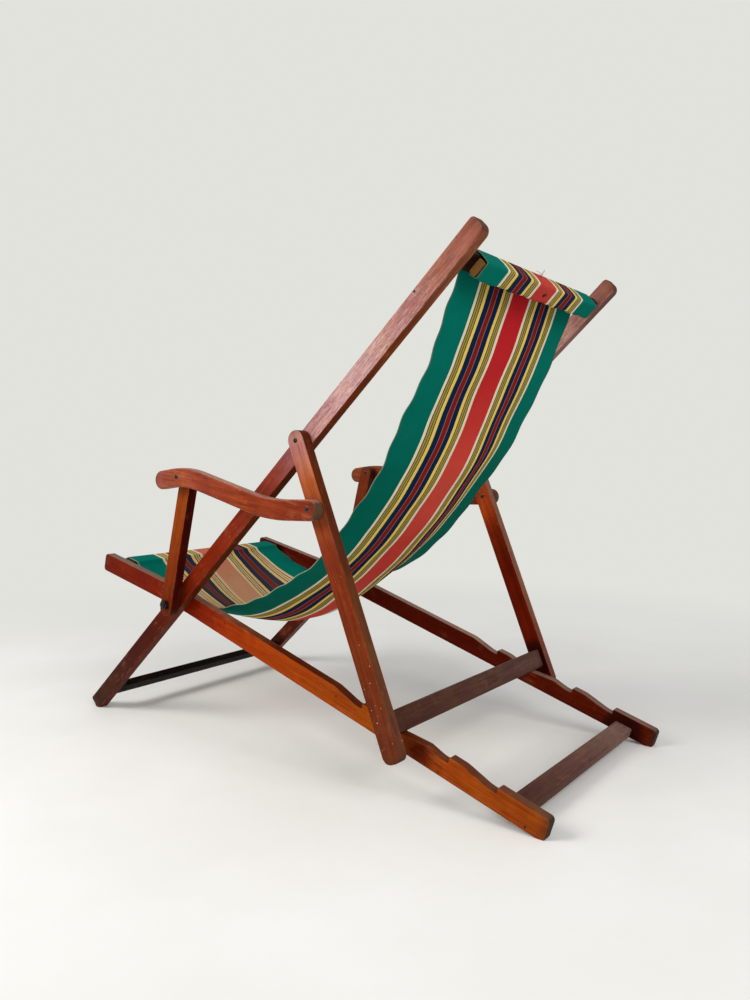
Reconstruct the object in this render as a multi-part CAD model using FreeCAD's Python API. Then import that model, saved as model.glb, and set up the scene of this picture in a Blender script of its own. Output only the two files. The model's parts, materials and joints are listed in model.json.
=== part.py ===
import FreeCAD, Part
import math
import os
from FreeCAD import Vector

# A wooden folding deck chair with a hung canvas, in millimetres.
# X runs across the chair, +X is the sitter's left, the sitter faces -Y, and Z is up from the floor.
# Side shapes are drawn in Y and Z on a few straight frames and pushed out along X.

# Stance: the height of the main cross pivot and the slopes of the two frames that cross there
pivot_height = 277.0
stile_slope = 42.8
rail_slope = 17.3
rail_front_bend = 4.5
bend_radius = 900.0

# Lengths along each member from the pivot that carries it, and how deep the soles are trimmed at the floor
stile_above = 988.0
toe_trim = 6.57
heel_trim = 4.38
rail_front = 286.0
prop_pivot = 499.0
arm_pivot = 130.0
post_length = 277.0
leg_tail = 50.0
post_tail = 24.0
post_head = 14.0

# Timber sections: the side width of each member and its thickness across the chair
stile_width = 34.0
stile_thick = 22.0
rail_width = 40.0
rail_thick = 20.0
leg_width = 37.0
prop_thick = 22.0
post_width = 33.0
arm_width = 38.0
arm_thick = 22.0
edge_round = 1.5
arm_edge_round = 5.0
end_round = 8.0
toe_round = 4.0
tip_round = 14.0
post_round = 12.5
round_trim = 0.05

# Armrest line: nose, hump, hollow and tail, each along the arm and across it, and the two bends
arm_nose = (-66.0, -20.0)
arm_hump = (22.0, 5.0)
arm_hollow = (-97.0, -20.0)
arm_tail = (21.0, 1.0)
arm_bends = (200.0, 330.0)

# Layers across the chair, from the inside out: rail, stile, leg and post, armrest
rail_inner = 242.0
layer_gap = 1.5
arm_gap = 2.0

# Notches in the rails' top edges, counted from the front, and the one in use
notch_from_heel = 381.0
notch_pitch = 95.0
notch_count = 4
notch_in_use = 2
notch_depth = 10.0
notch_ramp = 67.0
notch_floor = 16.0
ramp_round = 60.0
step_round = 2.0
relief_slope = 5.5
relief_round = 12.0

# Cross bars: the side along its member and the side across it
prop_bar_size = (40.0, 16.0)
foot_bar_size = (32.0, 16.0)
rear_bar_size = (36.0, 20.0)
top_bar_size = (34.0, 18.0)
front_bar_size = (36.0, 19.0)
batten_size = (28.0, 14.0)
bar_round = 2.5

# Each cross bar's distance from the end of its member, and how far it sits above the member's line
foot_bar_from_toe = 71.0
foot_bar_above = -7.0
rear_bar_from_heel = 66.0
rear_bar_above = -10.0
top_bar_from_tip = 63.0
front_bar_from_nose = 55.0
front_bar_above = 7.5

# Tenons
tenon_length = 10.0
tenon_shoulder = 3.0

# Canvas
sling_side_gap = 13.5
cloth = 1.6
cloth_clear = 0.3
hem_drop = 4.0
sag_share = (0.127, 0.486, 0.894)
sag_depth = (197.0, 267.0, 80.0)
sag_round = (250.0, 200.0, 400.0)
bag_depth = (66.0, 18.0, 1.0)

# Metal pivots; a domed head is given by its radius and its height
main_bolt_radius = 5.0
main_nut_width = 17.0
main_nut_thick = 8.0
bolt_head = (11.0, 5.0)
bolt_proud = 2.0
rivet_radius = 3.0
rivet_head = (5.0, 1.2)
washer_overhang = 6.0

# Clearances: a turning pin in its hole, a turning face, a resting bar, a glued tenon, a length of nothing
pin_clear = 0.05
face_clear = 0.1
seat_clear = 0.3
glue_clear = 0.05
tiny = 0.01

# Places of the layers across the chair
rail_outer = rail_inner + rail_thick
stile_inner = rail_outer + layer_gap
stile_outer = stile_inner + stile_thick
prop_inner = stile_outer + layer_gap
prop_outer = prop_inner + prop_thick
arm_inner = prop_outer + arm_gap
arm_outer = arm_inner + arm_thick
sling_width = 2 * (rail_inner - sling_side_gap)


def flat(angle, length=1.0):
    """A vector in the side plane at an angle in degrees above the rearward direction."""
    return Vector(0, length * math.cos(math.radians(angle)), length * math.sin(math.radians(angle)))


def place(frame, along, across):
    """The side point at a distance along a frame's line and across it, on its upper side."""
    origin, angle = frame
    return origin + flat(angle, along) + flat(angle + 90, across)


# Both members run on down from the pivot until their lower corners are trimmed off by the floor
stile_below = (pivot_height + toe_trim - flat(stile_slope, stile_width / 2).y) / flat(stile_slope).z
rail_rear = (pivot_height + heel_trim - flat(rail_slope, rail_width / 2).y) / flat(rail_slope).z

# The pivot stands where the front toe and the rear rail end are equally far from the middle
toe_reach = flat(stile_slope, stile_below - toe_round).y + flat(stile_slope, stile_width / 2 - toe_round).z
heel_reach = flat(rail_slope, rail_rear - end_round).y + flat(rail_slope, rail_width / 2 - end_round).z
pivot_y = (toe_reach + toe_round - heel_reach - end_round) / 2

pivot = Vector(0, pivot_y, pivot_height)
stile_frame = (pivot, stile_slope)
rail_frame = (pivot, -rail_slope)
front_frame = (pivot, rail_front_bend - rail_slope)

# The prop bar's round lower edge rests on the floor of the notch in use, and that sets the leg's slope
bar_radius = prop_bar_size[1] / 2
notch_first = rail_rear - notch_from_heel
step_in_use = notch_first + (notch_in_use - 1) * notch_pitch
rest_along = step_in_use - bar_radius - seat_clear
notch_level = rail_width / 2 - notch_depth
bar_rest = place(rail_frame, rest_along, notch_level + bar_radius + seat_clear)
prop_point = place(stile_frame, prop_pivot, 0)
leg_reach = bar_rest.distanceToPoint(prop_point)
leg_angle = math.degrees(math.atan2(bar_rest.z - prop_point.z, bar_rest.y - prop_point.y))
leg_frame = (prop_point, leg_angle)

# The arm's two pivots: the four side lengths close flat, and at rest the post and the arm meet in front
arm_length = prop_pivot + arm_pivot - post_length
arm_point = place(leg_frame, arm_pivot, 0)
reach = arm_point.distanceToPoint(pivot)
reach_angle = math.degrees(math.atan2(arm_point.z - pivot.z, arm_point.y - pivot.y))
post_lean = (post_length ** 2 + reach ** 2 - arm_length ** 2) / (2 * post_length * reach)
post_frame = (pivot, reach_angle + math.degrees(math.acos(post_lean)))
post_point = place(post_frame, post_length, 0)
arm_angle = math.degrees(math.atan2(arm_point.z - post_point.z, arm_point.y - post_point.y))
arm_frame = (post_point, arm_angle)


def rounded_wire(corners, x):
    """A closed wire in the plane at x through corners, each a side point with its round's radius."""
    stops = []
    for i, (corner, radius) in enumerate(corners):
        back = (corners[i - 1][0] - corner).normalize()
        ahead = (corners[(i + 1) % len(corners)][0] - corner).normalize()
        if radius == 0:
            stops.append((corner, None, corner))
            continue
        half = back.getAngle(ahead) / 2
        run = radius / math.tan(half)
        middle = corner + (back + ahead).normalize() * (radius / math.sin(half) - radius)
        stops.append((corner + back * run, middle, corner + ahead * run))
    shift = Vector(x, 0, 0)
    edges = []
    for i, (enter, middle, leave) in enumerate(stops):
        if middle is not None:
            edges.append(Part.Arc(enter + shift, middle + shift, leave + shift).toShape())
        arrive = stops[(i + 1) % len(stops)][0]
        if leave.distanceToPoint(arrive) > tiny:
            edges.append(Part.LineSegment(leave + shift, arrive + shift).toShape())
    return Part.Wire(edges)


def slab(corners, low, high):
    """A side outline pushed out across the chair from x = low to x = high."""
    return Part.Face(rounded_wire(corners, low)).extrude(Vector(high - low, 0, 0))


def soften(solid, low, high, radius):
    """Round the long edges in the two side faces of a slab."""
    edges = []
    for edge in solid.Edges:
        box = edge.BoundBox
        if box.XLength < tiny and min(abs(box.XMin - low), abs(box.XMin - high)) < tiny:
            edges.append(edge)
    return solid.makeFillet(radius, edges)


def block(frame, along, across, rounds):
    """The four corners of a rectangle on a frame, given two spans and four corner rounds."""
    spots = ((along[0], across[0]), (along[1], across[0]), (along[1], across[1]), (along[0], across[1]))
    return [(place(frame, u, v), radius) for (u, v), radius in zip(spots, rounds)]


def spans(place_on, size):
    """The two spans of a bar's section from its middle and its two sides."""
    return [(middle - side / 2, middle + side / 2) for middle, side in zip(place_on, size)]


def strip(points, radii, half_width, end_radius):
    """The outline of a bent strip about a line of points, with the radius of the line at each bend."""
    upper = []
    lower = []
    for i, point in enumerate(points):
        back = (point - points[i - 1]).normalize() if i > 0 else (points[1] - point).normalize()
        ahead = (points[i + 1] - point).normalize() if i + 1 < len(points) else back
        aside = Vector(0, -back.z - ahead.z, back.y + ahead.y).normalize()
        miter = aside * (half_width / math.cos(back.getAngle(ahead) / 2))
        turn = back.y * ahead.z - back.z * ahead.y
        if i in (0, len(points) - 1):
            upper.append((point + miter, end_radius))
            lower.append((point - miter, end_radius))
        else:
            gain = half_width if turn < 0 else -half_width
            upper.append((point + miter, radii[i - 1] + gain))
            lower.append((point - miter, radii[i - 1] - gain))
    return upper + lower[::-1]


def pin(point, low, high, radius):
    """A round pin across the chair through a side point."""
    return Part.makeCylinder(radius, high - low, point + Vector(low, 0, 0), Vector(1, 0, 0))


def dome(point, x, head, outward):
    """Half the outline of a low domed head on the plane at x: its rim, a point on its curve and its top."""
    radius, height = head
    ball = (radius ** 2 + height ** 2) / (2 * height)
    half = math.asin(radius / ball) / 2
    rise = height - ball + ball * math.cos(half)
    spots = ((0, radius), (rise, ball * math.sin(half)), (height, 0))
    return [point + Vector(x + outward * u, 0, v) for u, v in spots]


def headed_pin(point, low, high, radius, low_head=None, high_head=None):
    """A pin across the chair, turned in one piece with a domed head at either end."""
    low_tip, low_side = point + Vector(low, 0, 0), point + Vector(low, 0, radius)
    high_tip, high_side = point + Vector(high, 0, 0), point + Vector(high, 0, radius)
    edges = [Part.LineSegment(low_side, high_side).toShape()]
    ends = []
    for tip, side, x, head, outward in (
            (low_tip, low_side, low, low_head, -1), (high_tip, high_side, high, high_head, 1)):
        if head is None:
            edges.append(Part.LineSegment(side, tip).toShape())
            ends.append(tip)
            continue
        rim, middle, top = dome(point, x, head, outward)
        edges += [Part.LineSegment(side, rim).toShape(), Part.Arc(rim, middle, top).toShape()]
        ends.append(top)
    edges.append(Part.LineSegment(*ends).toShape())
    outline = Part.Face(Part.Wire(Part.__sortEdges__(edges)))
    return outline.revolve(point, Vector(1, 0, 0), 360)


def hexagon(point, low, high, width):
    """A hexagonal nut's body across the chair."""
    corners = [point + flat(60 * i, width / math.sqrt(3)) + Vector(low, 0, 0) for i in range(6)]
    return Part.Face(Part.makePolygon(corners + corners[:1])).extrude(Vector(high - low, 0, 0))


def washer(point, low, high, hole_radius):
    """A flat spacer ring between two layers."""
    return pin(point, low, high, hole_radius + washer_overhang).cut(pin(point, low, high, hole_radius))


def cross_bar(frame, middle, size, rounds, half_span):
    """A bar across the chair with a tenon at each end, and the mortises that take the tenons."""
    along, across = spans(middle, size)
    bar = slab(block(frame, along, across, rounds), -half_span, half_span)
    inner_along = (along[0] + tenon_shoulder, along[1] - tenon_shoulder)
    inner_across = (across[0] + tenon_shoulder, across[1] - tenon_shoulder)
    square = (0, 0, 0, 0)
    tip = half_span + tenon_length
    tenon = slab(block(frame, inner_along, inner_across, square), -tip, tip)
    wide_along = (inner_along[0] - glue_clear, inner_along[1] + glue_clear)
    wide_across = (inner_across[0] - glue_clear, inner_across[1] + glue_clear)
    mortise = slab(block(frame, wide_along, wide_across, square), -tip - glue_clear, tip + glue_clear)
    return bar.fuse(tenon).removeSplitter(), mortise


def rail_outline():
    """A seat rail's side: bent a little ahead of the pivot, with stepped notches behind."""
    half = rail_width / 2
    bend = half / math.cos(math.radians(rail_front_bend / 2))
    bend_frame = (pivot, rail_front_bend / 2 - rail_slope)
    corners = [
        (place(rail_frame, rail_rear, -half), end_round),
        (place(bend_frame, 0, -bend), bend_radius - half),
        (place(front_frame, -rail_front, -half), end_round),
        (place(front_frame, -rail_front, half), end_round),
        (place(bend_frame, 0, bend), bend_radius + half),
    ]
    ramp_fall = notch_depth / (notch_ramp - notch_floor)
    relief_rise = math.tan(math.radians(relief_slope))
    for number in range(1, notch_count + 1):
        step = notch_first + (number - 1) * notch_pitch
        if number != notch_in_use + 1:
            corners.append((place(rail_frame, step - notch_ramp, half), ramp_round))
        corners.append((place(rail_frame, step - notch_floor, notch_level), ramp_round))
        if number == notch_in_use:
            # behind the notch in use the step is eased, so that the bar can leave it as the chair folds
            top = step + notch_pitch - notch_ramp
            rise = half - notch_level + rest_along * relief_rise + top * ramp_fall
            crest = rise / (relief_rise + ramp_fall)
            crest_level = notch_level + (crest - rest_along) * relief_rise
            corners.append((place(rail_frame, rest_along, notch_level), 0))
            corners.append((place(rail_frame, crest, crest_level), relief_round))
        else:
            corners.append((place(rail_frame, step, notch_level), 0))
            corners.append((place(rail_frame, step, half), step_round))
    corners.append((place(rail_frame, rail_rear, half), end_round))
    return corners


def arm_outline():
    """An armrest's side: a drooped nose, a low hump, a hollow and a raised rear end."""
    rear_frame = (arm_point, arm_angle)
    points = [place(arm_frame, *arm_nose), place(arm_frame, *arm_hump)]
    points += [place(rear_frame, *arm_hollow), place(rear_frame, *arm_tail)]
    return strip(points, arm_bends, arm_width / 2, arm_width / 2 - round_trim)


def roll(frame, spots):
    """A hem of canvas closed round a bar, whose section's corners are given on its frame."""
    points = [place(frame, u, v) - Vector(sling_width / 2, 0, 0) for u, v in spots]
    core = Part.Face(Part.makePolygon(points + points[:1]))
    inside = core.makeOffset2D(cloth_clear)
    outside = core.makeOffset2D(cloth_clear + cloth)
    return outside.cut(inside).extrude(Vector(sling_width, 0, 0))


def sling_line(start, end, extra):
    """The canvas's side line from the front hem to the top hem, with a share of its bag."""
    chord = end - start
    down = Vector(0, chord.z, -chord.y).normalize()
    points = [start]
    for share, depth, bag in zip(sag_share, sag_depth, bag_depth):
        points.append(start + chord * share + down * (depth + bag * extra))
    return points + [end]


def sling_panel(start, end):
    """The hung canvas: its two edges hang tight and its middle bags lower."""
    sections = []
    for x, extra in ((-sling_width / 2, 0.0), (0.0, 1.0), (sling_width / 2, 0.0)):
        outline = strip(sling_line(start, end, extra), sag_round, cloth / 2, 0)
        sections.append(rounded_wire(outline, x))
    return Part.makeLoft(sections, True, False)


# A block under the floor, wider than the chair, that trims the soles flat
far = 2 * stile_above
floor_block = Part.makeBox(2 * far, 2 * far, far, Vector(-far, -far, -far))
parts = {}

# Cross bars and the mortises for their tenons
prop_bar_middle = (leg_reach + bar_radius - prop_bar_size[0] / 2, 0.0)
lower_round = bar_radius - round_trim
plain_rounds = (bar_round,) * 4
prop_rounds = (bar_round, lower_round, lower_round, bar_round)
foot_bar_place = (foot_bar_from_toe - stile_below, foot_bar_above)
rear_bar_place = (rail_rear - rear_bar_from_heel, rear_bar_above)
top_bar_place = (stile_above - top_bar_from_tip, 0.0)
front_bar_place = (front_bar_from_nose - rail_front, front_bar_above)
parts["prop_bar"], prop_mortise = cross_bar(
    leg_frame, prop_bar_middle, prop_bar_size, prop_rounds, prop_inner)
parts["foot_bar"], foot_mortise = cross_bar(
    stile_frame, foot_bar_place, foot_bar_size, plain_rounds, stile_inner)
parts["top_bar"], top_mortise = cross_bar(
    stile_frame, top_bar_place, top_bar_size, plain_rounds, stile_inner)
parts["rear_bar"], rear_mortise = cross_bar(
    rail_frame, rear_bar_place, rear_bar_size, plain_rounds, rail_inner)
parts["front_bar"], front_mortise = cross_bar(
    front_frame, front_bar_place, front_bar_size, plain_rounds, rail_inner)

# The batten behind the top bar, and the two hems of the canvas
top_along, top_across = spans(top_bar_place, top_bar_size)
front_along, front_across = spans(front_bar_place, front_bar_size)
batten_across = (top_across[0] - batten_size[1], top_across[0])
batten_along = spans(top_bar_place, batten_size)[0]
parts["top_batten"] = slab(
    block(stile_frame, batten_along, batten_across, plain_rounds), -sling_width / 2, sling_width / 2)
top_face = [(top_along[0], top_across[1]), (top_along[1], top_across[1])]
top_back = [(top_along[1], top_across[0]), (batten_along[1], batten_across[0])]
top_under = [(batten_along[0], batten_across[0]), (top_along[0], top_across[0])]
parts["sling_top_roll"] = roll(stile_frame, top_face + top_back + top_under)
front_upper = [(front_along[0], front_across[1]), (front_along[1], front_across[1])]
front_under = [(front_along[1], front_across[0]), (front_along[0], front_across[0])]
parts["sling_front_roll"] = roll(front_frame, front_upper + front_under)

# The canvas between the hems hangs from the back of the front hem and the underside of the top hem
hem_reach = cloth + 2 * cloth_clear + cloth / 2
sling_start = place(front_frame, front_along[1] + hem_reach, front_across[0] + hem_drop)
sling_end = place(stile_frame, top_along[0] - hem_reach, top_across[1] - hem_drop)
parts["sling_panel"] = sling_panel(sling_start, sling_end)

# One side's timber, on the sitter's left
running_hole = main_bolt_radius + pin_clear
rivet_hole = rivet_radius + pin_clear
left = {}

rail = soften(slab(rail_outline(), rail_inner, rail_outer), rail_inner, rail_outer, edge_round)
rail = rail.cut([pin(pivot, 0, arm_outer, running_hole), rear_mortise, front_mortise, floor_block])
left["seat_rail"] = rail

half_stile = stile_width / 2
stile_rounds = (toe_round, tip_round, end_round, toe_round)
stile_corners = block(
    stile_frame, (-stile_below, stile_above), (-half_stile, half_stile), stile_rounds)
stile = soften(slab(stile_corners, stile_inner, stile_outer), stile_inner, stile_outer, edge_round)
stile_cuts = [pin(pivot, 0, arm_outer, main_bolt_radius), pin(prop_point, 0, arm_outer, rivet_radius)]
left["back_stile"] = stile.cut(stile_cuts + [foot_mortise, top_mortise, floor_block])

half_leg = leg_width / 2
leg_round = half_leg - round_trim
leg_rounds = (leg_round, tip_round, tip_round, leg_round)
leg_corners = block(
    leg_frame, (-half_leg, leg_reach + leg_tail), (-half_leg, half_leg), leg_rounds)
leg = soften(slab(leg_corners, prop_inner, prop_outer), prop_inner, prop_outer, edge_round)
leg_cuts = [pin(prop_point, 0, arm_outer, rivet_hole), pin(arm_point, 0, arm_outer, rivet_radius)]
left["prop_leg"] = leg.cut(leg_cuts + [prop_mortise])

half_post = post_width / 2
post_corners = block(
    post_frame, (-post_tail, post_length + post_head), (-half_post, half_post), (post_round,) * 4)
post = soften(slab(post_corners, prop_inner, prop_outer), prop_inner, prop_outer, edge_round)
post_cuts = [pin(pivot, 0, arm_outer, running_hole), pin(post_point, 0, arm_outer, rivet_radius)]
left["arm_post"] = post.cut(post_cuts)

arm = soften(slab(arm_outline(), arm_inner, arm_outer), arm_inner, arm_outer, arm_edge_round)
arm_cuts = [pin(arm_point, 0, arm_outer, rivet_hole), pin(post_point, 0, arm_outer, rivet_radius)]
left["armrest"] = arm.cut(arm_cuts)

# The main pivot: a bolt through rail, stile and post, with spacers between the layers
bolt_in = rail_inner - face_clear
nut_in = prop_outer + face_clear
nut_out = nut_in + main_nut_thick
bolt_out = nut_out + bolt_proud
left["pivot_bolt"] = headed_pin(pivot, bolt_in, bolt_out, main_bolt_radius, low_head=bolt_head)
nut_hole = pin(pivot, nut_in, nut_out, main_bolt_radius)
left["pivot_nut"] = hexagon(pivot, nut_in, nut_out, main_nut_width).cut(nut_hole)
left["rail_spacer"] = washer(pivot, rail_outer + face_clear, stile_inner, main_bolt_radius)
left["post_spacer"] = washer(pivot, stile_outer, prop_inner - face_clear, main_bolt_radius)

# The prop and arm pivots: rivets tight in one member and free in the other
left["prop_rivet"] = headed_pin(
    prop_point, stile_inner, prop_outer + face_clear, rivet_radius, rivet_head, rivet_head)
left["prop_spacer"] = washer(prop_point, stile_outer, prop_inner - face_clear, rivet_radius)
left["arm_rear_rivet"] = headed_pin(
    arm_point, prop_inner, arm_outer + face_clear, rivet_radius, rivet_head, rivet_head)
left["arm_rear_spacer"] = washer(arm_point, prop_outer, arm_inner - face_clear, rivet_radius)

# The front arm pivot is open here: one half of its rivet stays in the armrest, the other in the post
left["arm_front_rivet"] = headed_pin(
    post_point, arm_inner, arm_outer, rivet_radius, high_head=rivet_head)
left["arm_front_spacer"] = washer(post_point, prop_outer + face_clear, arm_inner, rivet_radius)
left["post_rivet"] = headed_pin(
    post_point, prop_inner, prop_outer, rivet_radius, low_head=rivet_head)

for name, solid in left.items():
    parts["left_" + name] = solid
    parts["right_" + name] = solid.mirror(Vector(0, 0, 0), Vector(1, 0, 0))

os.makedirs("parts", exist_ok=True)
for name, solid in parts.items():
    solid.exportStep("parts/" + name + ".step")

points = {"pivot": pivot, "prop": prop_point, "arm rear": arm_point, "arm front": post_point}
for name, point in points.items():
    print(name, "y", round(point.y, 3), "z", round(point.z, 3))
print("leg angle", round(leg_angle, 3), "post", round(post_frame[1], 3), "arm", round(arm_angle, 3))
middle_strip = strip(sling_line(sling_start, sling_end, 1), sag_round, cloth / 2, 0)
print("canvas panel length", round(rounded_wire(middle_strip, 0).Length / 2))
print("parts", len(parts), "all valid", all(solid.isValid() for solid in parts.values()))
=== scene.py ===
# %% [markdown]
# # A wooden folding deck chair, dressed in Blender
# The chair's timber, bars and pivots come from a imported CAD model. They stand in the right place and
# at the right size, so this lesson never moves them. It adds the canvas, the small fasteners and every
# finish: worn varnish, dark stained bars, oxidised steel and striped cloth.

# %% Load the fixed frame
import bmesh
import bpy
import json
import math
import numpy as np
from mathutils import Matrix, Vector


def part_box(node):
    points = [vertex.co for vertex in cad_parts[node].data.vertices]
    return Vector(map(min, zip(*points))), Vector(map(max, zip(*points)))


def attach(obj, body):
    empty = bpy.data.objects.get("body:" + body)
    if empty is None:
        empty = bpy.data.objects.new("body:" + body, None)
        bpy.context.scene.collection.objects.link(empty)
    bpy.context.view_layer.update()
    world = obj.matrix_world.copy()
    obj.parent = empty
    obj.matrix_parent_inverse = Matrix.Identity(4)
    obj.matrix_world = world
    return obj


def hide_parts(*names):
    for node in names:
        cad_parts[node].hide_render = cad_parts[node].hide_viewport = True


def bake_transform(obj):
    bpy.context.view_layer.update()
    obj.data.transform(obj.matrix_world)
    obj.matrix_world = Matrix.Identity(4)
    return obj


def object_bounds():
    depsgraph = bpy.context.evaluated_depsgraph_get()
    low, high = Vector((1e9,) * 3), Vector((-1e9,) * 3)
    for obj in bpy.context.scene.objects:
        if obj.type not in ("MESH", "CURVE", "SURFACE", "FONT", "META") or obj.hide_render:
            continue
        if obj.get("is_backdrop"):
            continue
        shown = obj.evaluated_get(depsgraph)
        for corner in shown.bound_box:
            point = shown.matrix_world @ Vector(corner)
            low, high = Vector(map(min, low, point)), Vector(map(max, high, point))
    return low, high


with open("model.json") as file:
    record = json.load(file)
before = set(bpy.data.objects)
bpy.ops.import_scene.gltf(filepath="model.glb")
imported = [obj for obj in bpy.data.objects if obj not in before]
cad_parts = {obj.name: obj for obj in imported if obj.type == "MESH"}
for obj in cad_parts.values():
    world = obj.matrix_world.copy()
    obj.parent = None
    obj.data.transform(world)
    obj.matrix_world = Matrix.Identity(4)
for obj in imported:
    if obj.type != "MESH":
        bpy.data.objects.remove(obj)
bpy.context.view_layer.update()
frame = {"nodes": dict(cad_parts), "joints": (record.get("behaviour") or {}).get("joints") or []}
nodes = frame["nodes"]

# %% [markdown]
# ## The camera
# The photograph was taken from behind the chair, on the sitter's left, a little above seat height. A
# camera is three directions and a place: where it looks, what is right and what is up. Building its
# matrix from those keeps the small tilt that the photograph has, which a "track to" constraint loses.

# %% Camera at the photograph's view
def add_object(name, data):
    """A new object in the scene."""
    made = bpy.data.objects.new(name, data)
    bpy.context.scene.collection.objects.link(made)
    return made


camera_place = Vector((1.38406, 1.08134, 0.58765))
yaw, pitch, roll = 3.785683, -0.053811, 0.004061
focal_pixels, frame_pixels, sensor_mm = 806.819, 1000, 36.0
ahead = Vector((math.cos(yaw) * math.cos(pitch), math.sin(yaw) * math.cos(pitch), math.sin(pitch)))
level_right = ahead.cross(Vector((0, 0, 1))).normalized()
level_up = level_right.cross(ahead)
right = level_right * math.cos(roll) + level_up * math.sin(roll)
up = level_up * math.cos(roll) - level_right * math.sin(roll)
camera = add_object("camera", bpy.data.cameras.new("camera"))
camera.matrix_world = Matrix.Translation(camera_place) @ Matrix((right, up, -ahead)).transposed().to_4x4()
camera.data.sensor_width = sensor_mm
camera.data.lens = sensor_mm * focal_pixels / frame_pixels
bpy.context.scene.camera = camera
print("camera lens", round(camera.data.lens, 2), "mm")

# %% [markdown]
# ## Helpers for shader nodes
# A finish is a tree of nodes. The first helper makes one node, sets its options and then its inputs: a
# socket is linked, and a plain value is typed in. The others are the few steps that every finish here
# repeats, so that each finish reads as a list of short lines. The second cell holds what whole finishes
# share: a new material, a way to find rubbed corners, and the last links to the main shader.

# %% Node helpers
def srgb(red, green, blue):
    """A colour as a picture shows it, 0 to 255, turned into the linear values that shaders use."""
    linear = [v / 12.92 if v <= 0.04045 else ((v + 0.055) / 1.055) ** 2.4
              for v in (red / 255, green / 255, blue / 255)]
    return (*linear, 1.0)


def node(tree, kind, inputs=(), **options):
    """Add one shader node, set its options, then link or type in its inputs by name or number."""
    made = tree.nodes.new("ShaderNode" + kind)
    for name, value in options.items():
        setattr(made, name, value)
    for name, value in dict(inputs).items():
        socket = made.inputs[name]
        if isinstance(value, bpy.types.NodeSocket):
            tree.links.new(value, socket)
        else:
            socket.default_value = value
    return made


def calc(tree, operation, first, second=0.0, third=0.0, clamp=False):
    """One step of arithmetic between sockets or numbers."""
    step = node(tree, "Math", {0: first, 1: second, 2: third}, operation=operation, use_clamp=clamp)
    return step.outputs[0]


def times(tree, first, *others):
    """Multiply sockets or numbers."""
    for other in others:
        first = calc(tree, "MULTIPLY", first, other)
    return first


def between(tree, value, low, high):
    """0 at low, 1 at high, and a soft step between them."""
    ramp = node(tree, "MapRange", {"Value": value, "From Min": low, "From Max": high},
                interpolation_type="SMOOTHSTEP")
    return ramp.outputs["Result"]


def mix(tree, share, first, second, blend="MIX"):
    """Mix two colours by a share."""
    made = node(tree, "Mix", {0: share, 6: first, 7: second}, data_type="RGBA", blend_type=blend)
    return made.outputs[2]


def cover(tree, colour, tone, *shares):
    """Lay a tone over a colour by the product of some shares."""
    return mix(tree, times(tree, *shares), colour, tone)


def noise(tree, place, scale, detail=2.0, rough=0.5):
    """Soft cloudy values about 0.5."""
    made = node(tree, "TexNoise", {"Vector": place, "Scale": scale, "Detail": detail, "Roughness": rough})
    return made.outputs["Fac"]


def colour_steps(tree, value, stops, kind="LINEAR"):
    """A colour ramp through a list of (position, colour)."""
    made = node(tree, "ValToRGB", {0: value})
    made.color_ramp.interpolation = kind
    steps = made.color_ramp.elements
    steps.remove(steps[1])
    steps[0].position, steps[0].color = stops[0]
    for position, colour in stops[1:]:
        steps.new(position).color = colour
    return made.outputs[0]


print("node helpers ready")

# %% Finish helpers
def new_finish(name):
    """A new material, its tree and its main shader."""
    material = bpy.data.materials.new(name)
    material.use_nodes = True
    tree = material.node_tree
    return material, tree, tree.nodes["Principled BSDF"]


def corner_share(tree, radius, samples, soft, sharp):
    """1 on a piece's corners, found where a normal rounded over a radius leaves the true normal."""
    rounded = node(tree, "Bevel", {"Radius": radius}, samples=samples).outputs[0]
    true_normal = node(tree, "NewGeometry").outputs["Normal"]
    kept = node(tree, "VectorMath", {0: rounded, 1: true_normal}, operation="DOT_PRODUCT")
    return between(tree, kept.outputs["Value"], soft, sharp)


def wire(tree, shader, colour, roughness, height, relief, strength):
    """Link a colour, a roughness and a bump of so much relief, in metres, to the main shader."""
    tree.links.new(colour, shader.inputs["Base Color"])
    tree.links.new(roughness, shader.inputs["Roughness"])
    bump = node(tree, "Bump", {"Strength": strength, "Distance": relief, "Height": height})
    tree.links.new(bump.outputs[0], shader.inputs["Normal"])


print("finish helpers ready")

# %% [markdown]
# ## Floor and light
# The chair stands on a plain pale floor in soft light. A wide disc is the floor, and for the camera it
# melts into the tone of the world behind, so no horizon shows. Light that the floor sends back to the
# chair is not changed by that, so shadows stay. One large soft lamp stands in front on the sitter's left,
# a weaker one behind, and the world is the fill.

# %% Floor
wall_tone = srgb(226, 226, 221)


def seen_share(tree):
    """1 for rays from the camera, from mirrors and through glass, and 0 for rays that only carry light."""
    rays = node(tree, "LightPath").outputs
    mirrored = calc(tree, "MAXIMUM", rays["Is Glossy Ray"], rays["Is Transmission Ray"])
    return calc(tree, "MAXIMUM", rays["Is Camera Ray"], mirrored)


floor_reach, floor_corners, melt_reach = 9.0, 96, (0.7, 2.3)
floor_ring = [(floor_reach * math.cos(a), floor_reach * math.sin(a), 0)
              for a in np.linspace(0, 2 * math.pi, floor_corners, endpoint=False)]
floor_mesh = bpy.data.meshes.new("floor")
floor_mesh.from_pydata(floor_ring, [], [tuple(range(len(floor_ring)))])
floor = add_object("floor", floor_mesh)
floor_paint, tree, shader = new_finish("floor_paint")
place = node(tree, "TexCoord").outputs["Object"]
patches = between(tree, noise(tree, place, 1.7, 5.0, 0.6), 0.35, 0.7)
tree.links.new(mix(tree, patches, srgb(232, 231, 227), srgb(238, 237, 234)), shader.inputs["Base Color"])
shader.inputs["Roughness"].default_value = 0.6
shader.inputs["Specular IOR Level"].default_value = 0.2
distance = node(tree, "VectorMath", {0: place}, operation="LENGTH").outputs["Value"]
melt = times(tree, between(tree, distance, *melt_reach), seen_share(tree))
wall_glow = node(tree, "Emission", {"Color": wall_tone, "Strength": 1.0}).outputs[0]
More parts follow.
